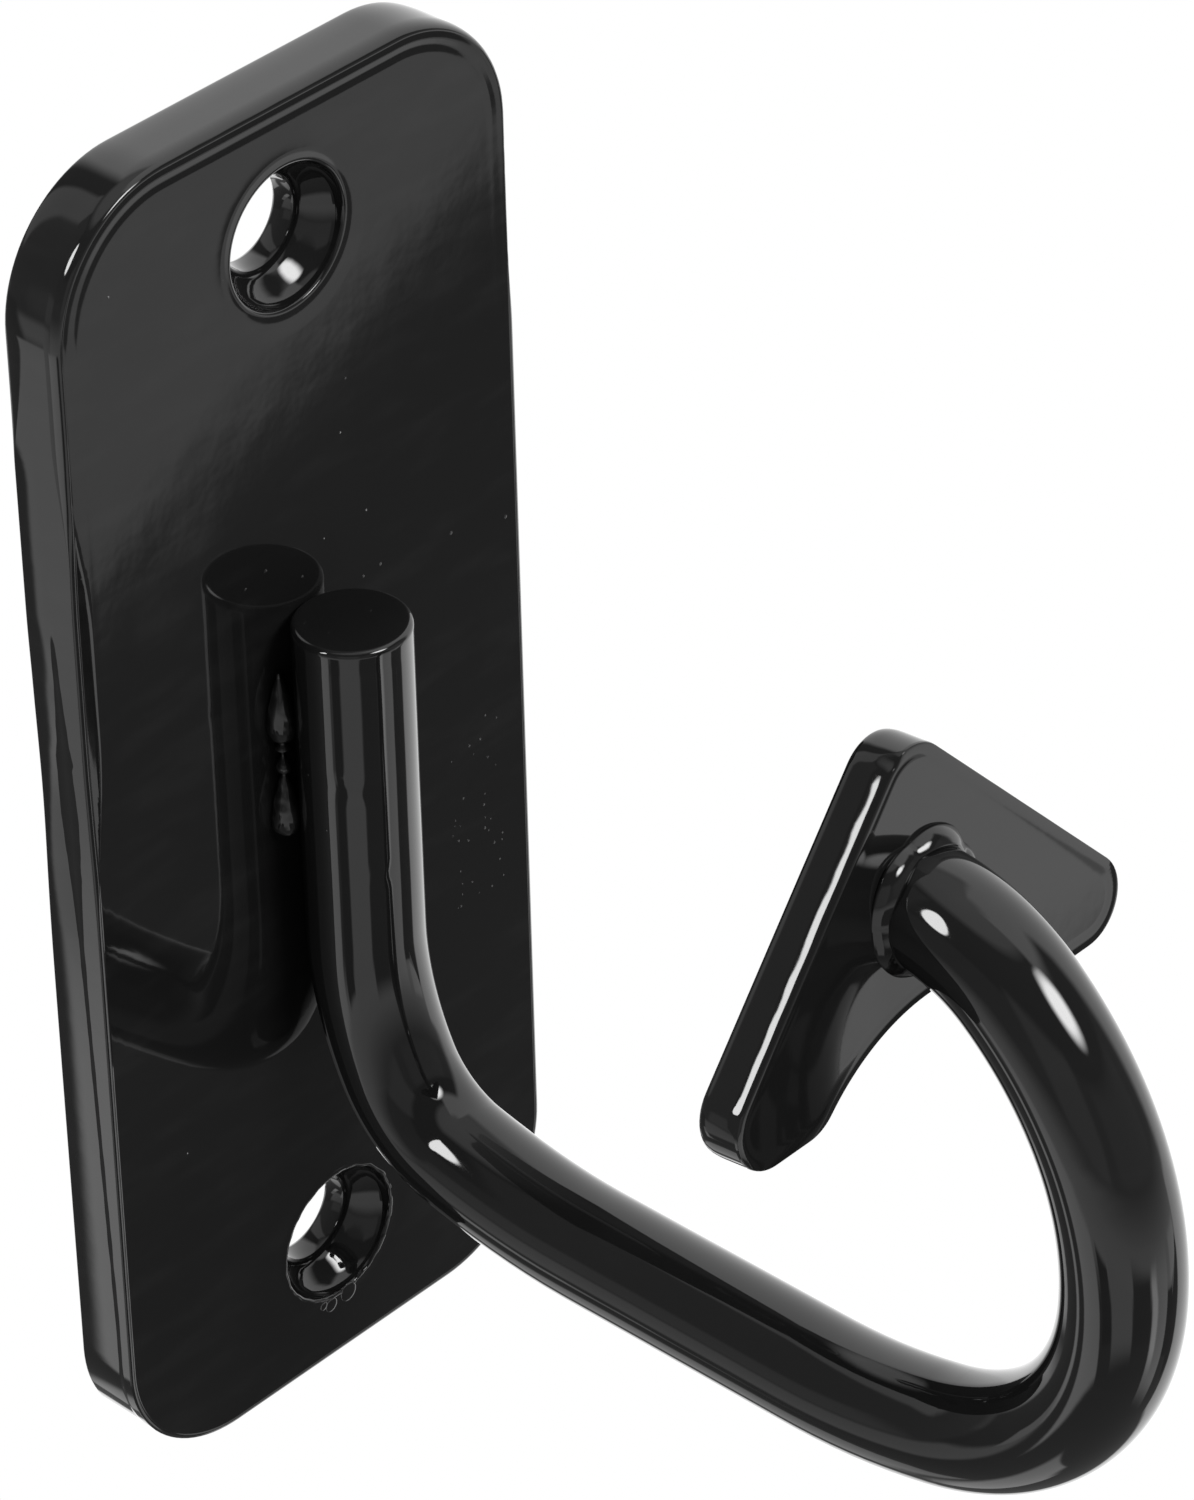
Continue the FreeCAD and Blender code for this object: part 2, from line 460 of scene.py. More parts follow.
@dataclass(frozen=True)
class WallBead:
    """The bead of coating that slants down the plate's walls; its heights are on the plate."""

    half_steps: Range = (0.06, 0.14)
    lead_steps: Range = (0.1, 0.06)
    flank: float = 0.7
    slope: float = 0.16
    width: float = 0.42
    swell: float = 1.5
    swell_height: float = 7.0
    swell_reach: float = 9.0
    top_heights: Range = (18.0, 25.0)
    wander: Wave = (0.35, 2.5)
    depth: float = 2.45
    slant: float = 0.0255
    slant_heights: Range = (-45.0, 24.0)
    crisp: float = 0.9
    crisp_heights: Range = (38.0, 50.0)

    def steps(self) -> tuple[float, ...]:
        """Return the steps of the wall from the back of the bead to the front rim."""
        return (*self.half_steps, *reversed(self.half_steps), *self.lead_steps)

    def share(self, depth: float) -> float:
        """Return -1 at the bead's front, 0 in its middle and 1 at its back, for a depth behind the rim."""
        half = sum(self.half_steps)
        return (depth - sum(self.lead_steps) - half) / half


@dataclass(frozen=True)
class Sag:
    """How the wet coating settles on the plate; its heights are on the plate."""

    fat_share: float = 0.04
    fat_heights: Range = (48.0, 57.0)
    fat_wander: Wave = (3.0, 5.0)
    nicks: Wave = (0.03, 0.7)
    nick_leans: Range = (0.3, 0.7)
    crisp_share: float = 0.16
    crisp_heights: Range = (30.0, 42.0)
    roll_slope: float = 0.23
    roll_reach: float = 1.6
    roll_wander: Wave = (0.4, 3.0)
    roll_starts: Range = (-6.0, 14.0)
    roll_ends: Range = (24.0, 40.0)
    face_lean: float = 0.9
    flat_lean: float = 0.97
    wall_margin: float = 0.1


@dataclass(frozen=True)
class Dust:
    """Dust nibs in the plate's coating, and the runs of coating below the lower hole."""

    # Each has its place across the plate, its height and its radius.
    placed: Triples = (
        (-4.4, 20.5, 0.16), (-0.4, 18.0, 0.13), (-6.7, 19.9, 0.14), (6.5, 14.6, 0.13),
        (8.5, 14.8, 0.15), (16.8, 13.7, 0.17), (23.3, 12.1, 0.17), (5.5, 34.0, 0.12),
        (0.7, -56.3, 0.95), (-1.4, -56.5, 0.7), (-2.3, -56.1, 0.45),
    )
    count: int = 34
    seed: int = 7
    across: Range = (15.5, 22.5)
    heights: Range = (-25.0, -6.0)
    radii: Range = (0.06, 0.13)
    steepness: float = 0.6
    proud_share: float = 0.9

    def add(self, draft: Draft, level: float, room: float) -> None:
        """Set the nibs on the plate's face.

        Args:
            draft: The plate's mesh.
            level: The face's place along Y.
            room: How far the fat edge stands out from the face.
        """
        pick = random.Random(self.seed)
        nibs = list(self.placed)
        for _ in range(self.count):
            nibs.append((pick.uniform(*self.across), pick.uniform(*self.heights), pick.uniform(*self.radii)))
        for across, height, radius in nibs:
            proud = min(self.proud_share * room, radius * self.steepness)
            place = Matrix.Translation((across, level, height)) @ Matrix.Diagonal((radius, proud, radius, 1))
            bmesh.ops.create_icosphere(draft.bm, subdivisions=3, radius=1.0, matrix=place)


@dataclass(frozen=True)
class Lip:
    """A ragged thin lip of coating round the mouth of a hole."""

    radius: float = 0.2
    inset: float = 0.05
    sides: int = 16
    around: int = 288
    proud_share: float = 0.7
    edge: Wave = (0.12, 0.9)
    sink: Wave = (0.12, 1.6)
    sink_offset: float = 14.4

    def add(self, draft: Draft, mouth: Vector, mouth_radius: float, room: float) -> None:
        """Lay the lip round one hole.

        Args:
            draft: The plate's mesh.
            mouth: The middle of the hole's mouth.
            mouth_radius: The mouth's radius.
            room: How far the fat edge stands out from the face.
        """
        centre = mouth + INWARD * (self.radius - self.proud_share * room)
        start = Matrix.Translation(centre + ACROSS * (mouth_radius - self.inset))
        before = set(draft.bm.verts)
        made = bmesh.ops.create_circle(draft.bm, segments=self.sides, radius=self.radius, matrix=start)
        edges = {edge for vert in made["verts"] for edge in vert.link_edges}
        draft.lathe([*made["verts"], *edges], centre, FRONT, self.around)
        for vert in set(draft.bm.verts) - before:
            away = (vert.co - centre) * Vector((1, 0, 1))
            vert.co += away.normalized() * wander(away, *self.edge)
            vert.co += INWARD * max(0.0, wander(away + ACROSS * self.sink_offset, *self.sink))


@dataclass
class BackPlate:
    """The drilled plate, with a coating that stands fat along its edges and around its holes."""

    corner_radius: float = 12.0
    front_round: Range = (0.55, 1.5)
    back_round: Range = (0.25, 2.4)
    back_rings: Pairs = ((0.8, 0.0), (0.8, 0.0))
    hole_edge_distance: float = 12.5
    bore_radius: float = 4.0
    mouth_radius: float = 6.5
    corner_steps: int = 24
    front_steps: int = 10
    back_steps: int = 8
    hole_steps: int = 96
    # What the coating adds to the mouth's radius and to the bore's, by depth below the face or the back.
    mouth_profile: Pairs = (
        (2.4, 0.0), (1.6, 0.0), (1.0, 0.012), (0.55, 0.016), (0.25, 0.004), (0.02, -0.012), (-0.12, 0.01),
        (-0.22, 0.12), (-0.27, 0.35), (-0.38, 0.75), (-0.58, 1.1), (-0.9, 1.46), (-1.3, 1.86), (-1.7, 2.25),
    )
    bore_profile: Pairs = ((0.5, 2.55), (0.24, 2.85), (0.07, 3.25), (0.0, 3.7), (0.0, 4.3))
    back_profile: Pairs = ((0.0, -0.5), (0.15, -0.15), (0.5, 0.0), (1.0, 0.0), (2.0, 0.0))
    bead: WallBead = WallBead()
    sag: Sag = Sag()
    dust: Dust = Dust()
    lip: Lip = Lip()
    draft: Draft = field(default_factory=Draft)

    def __post_init__(self) -> None:
        """Take the plate's size from its solid, and work out how far the face lies below its fat edge."""
        low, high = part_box("back_plate")
        self.width, self.thickness, self.height = (high - low) / MM
        dip = [(0.22, -0.014), (0.22, -0.014)]
        ridge = [(0.2, 0.0), (0.35, 0.006), (0.15, 0.0)]
        self.fat_edge = [(0.1, 0.0), *dip, *ridge, *dip, (0.3, 0.0), (0.8, 0.0)]
        self.fat_height = -sum(rise for _, rise in self.fat_edge)
        self.face_level = self.fat_height - self.thickness

    def build(self) -> None:
        """Model the plate."""
        draft = self.draft
        corner = self.corner_radius
        back_depth = self.back_round[1]
        start = Vector((corner - self.width / 2, -back_depth, -self.height / 2))
        outline = Outline(draft, start, 0.0)
        for side in (self.width, self.height) * 2:
            outline.line(side - 2 * corner)
            outline.arc(corner, 90.0, self.corner_steps)
        straight = self.thickness - back_depth - self.front_round[1]
        bead = self.bead.steps()
        wall = [(0.0, rise) for rise in (straight - sum(bead), *bead)]
        front = [*rounded(*self.front_round, self.front_steps), *self.fat_edge]
        back = [*rounded(*self.back_round, self.back_steps), *self.back_rings]
        draft.slab(outline.fill(), wall, front, back)
        faces = [draft.facing(FRONT), draft.facing(INWARD)]
        bmesh.ops.delete(draft.bm, geom=faces, context="FACES_ONLY")
        self._settle()
        hole_height = self.height / 2 - self.hole_edge_distance
        for height in (hole_height, -hole_height):
            self._hole(height)
        lower_mouth = Vector((0, self.face_level, -hole_height))
        self.lip.add(draft, lower_mouth, self.mouth_radius, self.fat_height)
        for level, normal in ((self.face_level, FRONT), (0.0, INWARD)):
            bmesh.ops.triangle_fill(draft.bm, use_beauty=True, edges=draft.rim(level), normal=normal)
        self.dust.add(draft, self.face_level, self.fat_height)
        draft.finish("coated_plate", PLATE_COAT, "back_plate")

    def _settle(self) -> None:
        """Let the coating sag: fat edges fade, a bead runs down the walls and the arris is nicked."""
        sag = self.sag
        self.draft.bm.normal_update()
        wall_start = self.front_round[1] + sag.wall_margin
        moves = {}
        for vert in self.draft.bm.verts:
            place = vert.co
            depth = place.y + self.thickness
            lean = abs(vert.normal.y)
            if depth < self.fat_height - TINY and lean > sag.face_lean:
                height = place.z + wander(place, *sag.fat_wander)
                keep = sag.fat_share + (1 - sag.fat_share) * fade(height, *sag.fat_heights)
                moves[vert] = FRONT * (self.face_level - place.y) * (keep - 1)
            elif depth > wall_start and vert.normal.y < sag.flat_lean:
                moves[vert] = self._bead(place, Vector((vert.normal.x, 0, vert.normal.z)).normalized())
            elif lean < sag.flat_lean:
                nick = max(0.0, wander(place, *sag.nicks)) * fade(lean, *sag.nick_leans)
                crisp = (1 - sag.crisp_share) * (1 - fade(place.z, *sag.crisp_heights))
                moves[vert] = vert.normal * -nick + FRONT * depth * crisp
        self.draft.shift(moves)
        for vert in self.draft.bm.verts:
            vert.co += INWARD * self._roll(vert.co)

    def _bead(self, place: Vector, across: Vector) -> Vector:
        """Return how a point of the wall moves to make the slanting bead of coating.

        Args:
            place: The point.
            across: The wall's outward direction there.

        Returns:
            The move.
        """
        bead = self.bead
        height = place.z
        depth = place.y + self.thickness
        away = (height - bead.swell_height) / bead.swell_reach
        width = bead.width + bead.swell * math.exp(-(away**2))
        drop = bead.slope * width * (1 - fade(height, *bead.top_heights))
        width *= 1 + wander(UP * height, *bead.wander)
        share = bead.share(depth - self.front_round[1])
        if share > 1 + 100 * TINY:
            crisp = bead.crisp * (1 - fade(height, *bead.crisp_heights))
            return across * -drop + INWARD * min(self.back_round[1], -place.y) * crisp
        lowest, highest = bead.slant_heights
        line = bead.depth + bead.slant * max(lowest, min(highest, height))
        shift = line + share * width / (2 * bead.flank) - depth
        return INWARD * shift - across * drop * fade(share, -bead.flank, bead.flank)

    def _roll(self, place: Vector) -> float:
        """Return how far the front sinks where it rolls off towards its left edge."""
        sag = self.sag
        inset = place.x + self.width / 2
        height = place.z + wander(place, *sag.roll_wander)
        reach = sag.roll_reach * fade(height, *sag.roll_starts) * (1 - fade(height, *sag.roll_ends))
        if place.y > self.front_round[1] - self.thickness or inset > reach:
            return 0.0
        return sag.roll_slope * (reach - inset)

    def _hole(self, height: float) -> None:
        """Spin one hole: a beaded mouth, a steep wall, a bowl filled out by the coating, and the bore.

        Args:
            height: The hole's height on the plate.
        """
        mouth = self.mouth_radius
        bore = self.bore_radius
        front = self.face_level
        places = [(mouth + over, front + depth, height) for over, depth in self.mouth_profile]
        places += [(bore + over, front + depth, height) for over, depth in self.bore_profile]
        places += [(bore + over, depth, height) for over, depth in self.back_profile]
        self.draft.lathe(self.draft.chain(places), UP * height, FRONT, self.hole_steps)


@dataclass
class HookBar:
    """The bent round bar: a stem, a heel, a level run and a toe that curls back to the tab."""

    stem: float = 30.0
    heel_turn: float = 90.0
    heel_bends: Pairs = ((30.0, 26.0), (11.0, 49.0), (59.0, 15.0))
    toe_bends: Pairs = ((54.0, 15.0), (23.4, 71.0), (29.7, 55.0), (15.4, 37.0))
    end_round: float = 0.5
    end_steps: int = 4
    cap_inset: float = 0.25
    sides: int = 96
    straight_step: float = 0.6
    bend_step: float = 2.0
    ripple: Wave = (0.014, 7.0)
    ripple_sink: float = 0.0126
    ripple_start: float = 1.5
    # Each lump has its place across the stem, its height and its reach.
    lumps: Triples = ((-3.7, 2.4, 0.9), (-4.3, 3.2, 0.6), (-2.2, -6.0, 0.8))
    lump_height: float = 0.09
    lump_fall: float = 2.0
    lump_limit: float = 3.0
    trim_reach: float = 15.0
    trim_margin: float = 1.0
    draft: Draft = field(default_factory=Draft)

    def __post_init__(self) -> None:
        """Take the bar's size and place from its solid, and work out its level run."""
        low, high = (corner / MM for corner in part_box("hook_bar"))
        heel_forward, heel_down = self._travel(self.heel_bends, 0.0)
        toe_forward, _ = self._travel(self.toe_bends, self.heel_turn)
        self.radius = high.x
        self.top = low.z + self.radius + heel_down + self.stem
        self.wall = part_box("back_plate")[0].y / MM
        self.run = self.wall - low.y - 2 * self.radius - heel_forward - toe_forward

    @staticmethod
    def _travel(bends: Pairs, turned: float) -> tuple[float, float]:
        """Return how far bends carry the bar forward and down, up to where it points straight up.

        Args:
            bends: The radius and turn of each bend.
            turned: The turn from straight down before the first bend.

        Returns:
            The travel along -Y and along -Z.
        """
        forward = 0.0
        down = 0.0
        for radius, turn in bends:
            before = math.radians(turned)
            turned = min(turned + turn, 180.0)
            after = math.radians(turned)
            forward += radius * (math.cos(before) - math.cos(after))
            down += radius * (math.sin(after) - math.sin(before))
        return forward, down

    def build(self, tab: "KeeperTab") -> None:
        """Model the bar, and seat the tab on its end.

        Args:
            tab: The tab that sits on the bar's free end.
        """
        bm = self.draft.bm
        self.point = Vector((0, self.wall - self.radius, self.top))
        self.heading = -90.0
        start = Matrix.Translation(self.point)
        made = bmesh.ops.create_circle(
            bm, cap_ends=True, segments=self.sides, radius=self.radius, matrix=start
        )
        cap = made["verts"][0].link_faces[0]
        self.ring = list(cap.edges)
        self._straight(self.stem)
        for radius, turn in self.heel_bends:
            self._bend(radius, turn)
        self._straight(self.run)
        for radius, turn in self.toe_bends:
            self._bend(radius, turn)
        tab.seat(self.point)
        self._straight(self.radius)
        bmesh.ops.edgeloop_fill(bm, edges=self.ring)
        self._ripple()
        edges = list(cap.edges)
        bmesh.ops.bevel(
            bm, geom=edges, offset=self.end_round, segments=self.end_steps, profile=0.5, affect="EDGES"
        )
        self.draft.step(UP, [(self.cap_inset, 0.0)])
        self._trim(tab)
        self.draft.finish("coated_bar", BAR_COAT, "hook_bar")

    def _trim(self, tab: "KeeperTab") -> None:
        """Split the bar at the tab's front face, and take off the last of its free end, which stays open.

        Args:
            tab: The seated tab.
        """
        bm = self.draft.bm
        bmesh.ops.bisect_plane(
            bm,
            geom=[*bm.verts, *bm.edges, *bm.faces],
            plane_co=tab.place.translation,
            plane_no=tab.place.to_3x3() @ INWARD,
        )
        to_tab = tab.place.inverted()
        near = [vert for vert in bm.verts if (vert.co - self.point).length < self.trim_reach]
        near = [vert for vert in near if vert.co.y > self.point.y - self.trim_margin]
        beyond = [vert for vert in near if (to_tab @ vert.co).y > TINY]
        bmesh.ops.delete(bm, geom=beyond, context="VERTS")

    def _straight(self, length: float) -> None:
        """Extrude the bar's end straight on.

        Args:
            length: The length to add.
        """
        angle = math.radians(self.heading)
        count = max(2, round(length / self.straight_step))
        step = Vector((0, math.cos(angle), math.sin(angle))) * (length / count)
        for _ in range(count):
            made = bmesh.ops.extrude_edge_only(self.draft.bm, edges=self.ring)
            self.ring = only(made["geom"], BMEdge)
            bmesh.ops.translate(self.draft.bm, vec=step, verts=only(made["geom"], BMVert))
        self.point = self.point + step * count

    def _bend(self, radius: float, turn: float) -> None:
        """Spin the bar's end round a bend.

        Args:
            radius: The bend's radius at the bar's centre line.
            turn: The angle in degrees.
        """
        angle = math.radians(self.heading)
        centre = self.point + Vector((0, math.sin(angle), -math.cos(angle))) * radius
        turning = -math.radians(turn)
        steps = max(4, round(turn / self.bend_step))
        made = bmesh.ops.spin(
            self.draft.bm, geom=self.ring, cent=centre, axis=ACROSS, angle=turning, steps=steps
        )
        self.ring = only(made["geom_last"], BMEdge)
        self.point = centre + Matrix.Rotation(turning, 3, "X") @ (self.point - centre)
        self.heading -= turn

    def _ripple(self) -> None:
        """Let the coating swell and thin a little along the bar, with lumps on the stem."""
        self.draft.bm.normal_update()
        moves = {}
        for vert in self.draft.bm.verts:
            if vert.co.z < self.top - self.ripple_start:
                ripple = wander(vert.co, *self.ripple) - self.ripple_sink
                moves[vert] = vert.normal * (ripple + self._lump(vert))
        self.draft.shift(moves)

    def _lump(self, vert: BMVert) -> float:
        """Return how far the lumps raise a point of the bar."""
        lump = 0.0
        for across, height, reach in self.lumps:
            if vert.normal.y < 0 and abs(vert.co.z - height) < self.lump_limit * reach:
                away = ((vert.co.x - across) ** 2 + (vert.co.z - height) ** 2) / reach**2
                lump += self.lump_height * reach * math.exp(-self.lump_fall * away)
        return lump


@dataclass
class KeeperTab:
    """The rounded triangle with an arched foot on the bar's free end."""

    width: float = 44.8
    side_angle: float = 46.7
    corner_radius: float = 4.0
    thickness: float = 4.0
    lead_in: Pairs = ((0.02, 0.2), (0.036, 0.2))
    facet: float = 0.95
    facet_turns: tuple[float, ...] = (13.0, 14.0, 15.0, 16.0)
    front_turn: Pairs = ((0.055, 0.15), (0.08, 0.16), (0.09, 0.1), (0.1, 0.06), (0.1, 0.02))
    face_dip: Pairs = ((0.15, 0.0), (0.25, -0.01), (0.25, -0.01), (0.3, 0.0), (0.4, 0.0))
    crisp_share: float = 0.15
    flank_reach: Range = (0.8, 0.97)
    rim_lean: float = 0.05
    taper: float = 0.4
    wander: Wave = (0.02, 2.2)
    back_round: Range = (0.25, 1.2)
    back_steps: int = 8
    back_ring: float = 0.3
    arch_width: float = 26.0
    arch_rise: float = 5.6
    seat_height: float = 13.6
    lean: float = 5.7
    corner_steps: int = 20
    draft: Draft = field(default_factory=Draft)

    def __post_init__(self) -> None:
        """Work out the profile of the soft front rim: a lead-in, a long facet and a tight turn."""
        rise = self.facet / len(self.facet_turns)
        facet = [(rise * math.tan(math.radians(turn)), rise) for turn in self.facet_turns]
        self.front_rim = [*self.lead_in, *facet, *self.front_turn]
        self.rim_depth = sum(rise for _, rise in self.front_rim)

    def seat(self, point: Vector) -> None:
        """Place the tab on the bar's end."""
        turn = Matrix.Rotation(-math.radians(self.lean), 4, "X")
        self.place = Matrix.Translation(point) @ turn @ Matrix.Translation(UP * -self.seat_height)

    def build(self) -> None:
        """Model the tab."""
        draft = self.draft
        radius = self.corner_radius
        half_arch = self.arch_width / 2
        arch = (half_arch**2 + self.arch_rise**2) / (2 * self.arch_rise)
        arch_centre = self.arch_rise - arch
        blend_across = math.sqrt((arch + radius) ** 2 - (radius - arch_centre) ** 2)
        arch_turn = math.degrees(math.asin(blend_across / (arch + radius)))
        side = math.radians(self.side_angle)
        corner_cut = radius / math.tan(side / 2)
        apex_cut = radius * math.tan(side)
        half_base = self.width / 2 - radius + corner_cut
        foot = self.width / 2 - radius - blend_across
        flank = half_base / math.cos(side) - corner_cut - apex_cut
        start = Vector((0, self.thickness - self.back_round[1], self.arch_rise))
        outline = Outline(draft, start, 0.0)
        steps = self.corner_steps
        foot_turn = 180.0 - self.side_angle
        outline.arc(arch, -arch_turn, steps)
        outline.arc(radius, arch_turn, steps // 2)
        for length, turn in ((foot, foot_turn), (flank, 2 * self.side_angle), (flank, foot_turn)):
            outline.line(length)
            outline.arc(radius, turn, steps)
        outline.line(foot)
        outline.arc(radius, arch_turn, steps // 2)
        outline.arc(arch, -arch_turn, steps)
        straight = self.thickness - self.rim_depth - self.back_round[1]
        front = [*self.front_rim, *self.face_dip]
        back = [*rounded(*self.back_round, self.back_steps), (self.back_ring, 0.0)]
        draft.slab(outline.fill(), [(0.0, straight / 2)] * 2, front, back)
        self._sharpen()
        bmesh.ops.transform(draft.bm, matrix=self.place, verts=draft.bm.verts)
        draft.finish("coated_tab", TAB_COAT, "keeper_tab")

    def _sharpen(self) -> None:
        """Draw the front rim out to the full outline, but leave it soft and wavy along the left flank."""
        verts = self.draft.bm.verts
        self.draft.bm.normal_update()
        side = math.radians(self.side_angle)
        flank = Vector((-math.sin(side), 0, math.cos(side)))
        top = max(vert.co.z for vert in verts)
        moves = {}
        for vert in verts:
            across = Vector((vert.normal.x, 0, vert.normal.z))
            depth = vert.co.y
            if -TINY < depth < self.rim_depth + TINY and across.length > self.rim_lean:
                across.normalize()
                crisp = (1 - self.crisp_share) * (1 - fade(across.dot(flank), *self.flank_reach))
                crisp = max(crisp, self.taper * (1 - vert.co.z / top))
                sink = (wander(vert.co, *self.wander) - self.wander[0]) * depth / self.rim_depth
                moves[vert] = (across * self._inset(depth) + FRONT * depth) * crisp + across * sink
        self.draft.shift(moves)

    def _inset(self, depth: float) -> float:
        """Return how far the front rim lies inside the outline at a depth behind the front."""
        inset = 0.0
        level = self.rim_depth
        for over, rise in self.front_rim:
            level -= rise
            if level < depth - TINY:
                break
            inset += over
        return inset


@dataclass
class PlateWeld:
    """One of the two beads of weld that hold the bar on the plate."""

    node: str
    side: int
    across: float = 4.3
    stand_off: float = 0.7
    rings: int = 160
    sides: int = 40
    # Each drop has its top, its bottom and its fatness.
    drops: Triples = ((11.0, 4.2, 1.5), (4.4, 3.3, 0.8), (3.2, 1.2, 0.85), (1.4, -5.0, 1.55))
    drop_taper: float = 0.7
    drop_round: float = 5.0
    drop_swell: float = 1.15
    thinnest: float = 0.25
    lumps: Wave = (0.12, 1.1)
    lump_sink: float = 0.048

    def build(self) -> None:
        """Model the bead."""
        low, high = (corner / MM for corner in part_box(self.node))
        draft = Draft()
        half = (high.z - low.z) / 2
        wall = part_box("back_plate")[0].y / MM
        middle = Vector((self.across * self.side, wall - self.stand_off, low.z + half))
        made = bmesh.ops.create_uvsphere(draft.bm, u_segments=self.sides, v_segments=self.rings, radius=1.0)
        for vert in made["verts"]:
            around = Vector((vert.co.x, vert.co.y, 0))
            height = middle.z + half * math.asin(max(-1.0, min(1.0, vert.co.z))) / (math.pi / 2)
            radius = self._radius(height) if abs(vert.co.z) < 1 - TINY else 0.0
            vert.co = middle + around.normalized() * radius + UP * (height - middle.z)
        draft.bm.normal_update()
        verts = draft.bm.verts
        draft.shift({vert: vert.normal * (wander(vert.co, *self.lumps) - self.lump_sink) for vert in verts})
        draft.finish(f"bead_{'right' if self.side > 0 else 'left'}", WELD_COAT, self.node)

    def _radius(self, height: float) -> float:
        """Return the bead's radius at a height, where hanging drops of weld run into each other.

        Args:
            height: The height on the plate.

        Returns:
            The radius.
        """
        radius = self.thinnest
        for top, bottom, fat in self.drops:
            share = (top - height) / (top - bottom)
            if 0 < share < 1:
                belly = share**self.drop_taper * math.sqrt(1 - share**self.drop_round)
                radius = max(radius, fat * belly * self.drop_swell)
        return radius


@dataclass
class TabWeld:
    """The lumpy fillet of weld around the bar's end on the tab."""

    leg: float = 0.95
    bulge: float = 0.1
    sunk: float = 0.4
    around: int = 144
    steps: int = 16
    scallop: float = 0.6
    scallop_reach: Range = (0.0, 0.5)
    scallop_turns: float = 2.6
    scallop_start: float = 0.5
    lumps: Wave = (0.18, 2.2)
    lump_sink: float = 0.05
    draft: Draft = field(default_factory=Draft)

    def build(self, bar: HookBar, tab: KeeperTab) -> None:
        """Model the fillet.

        Args:
            bar: The bar that the fillet goes round.
            tab: The tab that the fillet sits on.
        """
        draft = self.draft
        inner = bar.radius - self.sunk
        section = [(inner, self.sunk), (bar.radius + self.leg, self.sunk)]
        for index in range(self.steps + 1):
            share = index / self.steps
            bulge = self.bulge * math.sin(math.pi * share)
            section.append((bar.radius + self.leg * (1 - share) + bulge, -self.leg * share - bulge))
        section.append((inner, -self.leg))
        ring = draft.chain([(radius, depth, 0.0) for radius, depth in section], closed=True)
        draft.lathe(ring, Vector(), INWARD, self.around)
        bmesh.ops.recalc_face_normals(draft.bm, faces=draft.bm.faces)
        self._lumps(bar.radius)
        place = tab.place @ Matrix.Translation(UP * tab.seat_height)
        bmesh.ops.transform(draft.bm, matrix=place, verts=draft.bm.verts)
        draft.finish("bead_ring", WELD_COAT, "tab_weld")

    def _lumps(self, radius: float) -> None:
        """Raise lumps along the fillet, with two fat ones at its top.

        Args:
            radius: The bar's radius.
        """
        self.draft.bm.normal_update()
        moves = {}
        for vert in self.draft.bm.verts:
            if vert.co.y < TINY and math.hypot(vert.co.x, vert.co.z) > radius - TINY:
                angle = math.atan2(vert.co.x, vert.co.z)
                wave = abs(math.sin(self.scallop_turns * angle + self.scallop_start))
                scallop = self.scallop * fade(math.cos(angle), *self.scallop_reach) * wave
                lump = wander(vert.co, *self.lumps) - self.lump_sink
                moves[vert] = vert.normal * (lump + scallop)
        self.draft.shift(moves)


class CardShape(Enum):
    """The outline of a patch of the surroundings."""

    BOX = "box"
    OVAL = "oval"


@dataclass(frozen=True)
class Card:
    """A soft-edged patch of the surroundings: a lamp, a white board or a dark gap, placed by degrees.

    Its top and bottom are as soft as its sides, unless end_soft says otherwise.
    """

    azimuth: float
    elevation: float
    half_width: float
    half_height: float
    glow: float
    soft: float = 4.0
    tilt: float = 0.0
    shape: CardShape = CardShape.BOX
    end_soft: float = 0.0

    def mask(self, bench: Bench, azimuth: Signal, elevation: Signal) -> Signal:
        """Return 1 inside the card and 0 outside.

        Args:
            bench: The world's bench.
            azimuth: The direction's angle from -Y towards +X.
            elevation: The direction's angle above the horizon.

        Returns:
            The mask.
        """
        level = (azimuth - self.azimuth).wrapped(180.0)
        rise = elevation - self.elevation
        turn = math.radians(self.tilt)
        across = level * math.cos(turn) + rise * math.sin(turn)
        along = rise * math.cos(turn) - level * math.sin(turn)
        if self.shape is CardShape.OVAL:
            reach = ((across / self.half_width) ** 2 + (along / self.half_height) ** 2) ** 0.5
            return bench.fade(reach, 1.0, max(0.0, 1.0 - self.soft / self.half_height))
        side_soft = self.soft / 2
        end_soft = (self.end_soft or self.soft) / 2
        sides = bench.fade(abs(across), self.half_width + side_soft, self.half_width - side_soft)
        ends = bench.fade(abs(along), self.half_height + end_soft, self.half_height - end_soft)
        return sides * ends


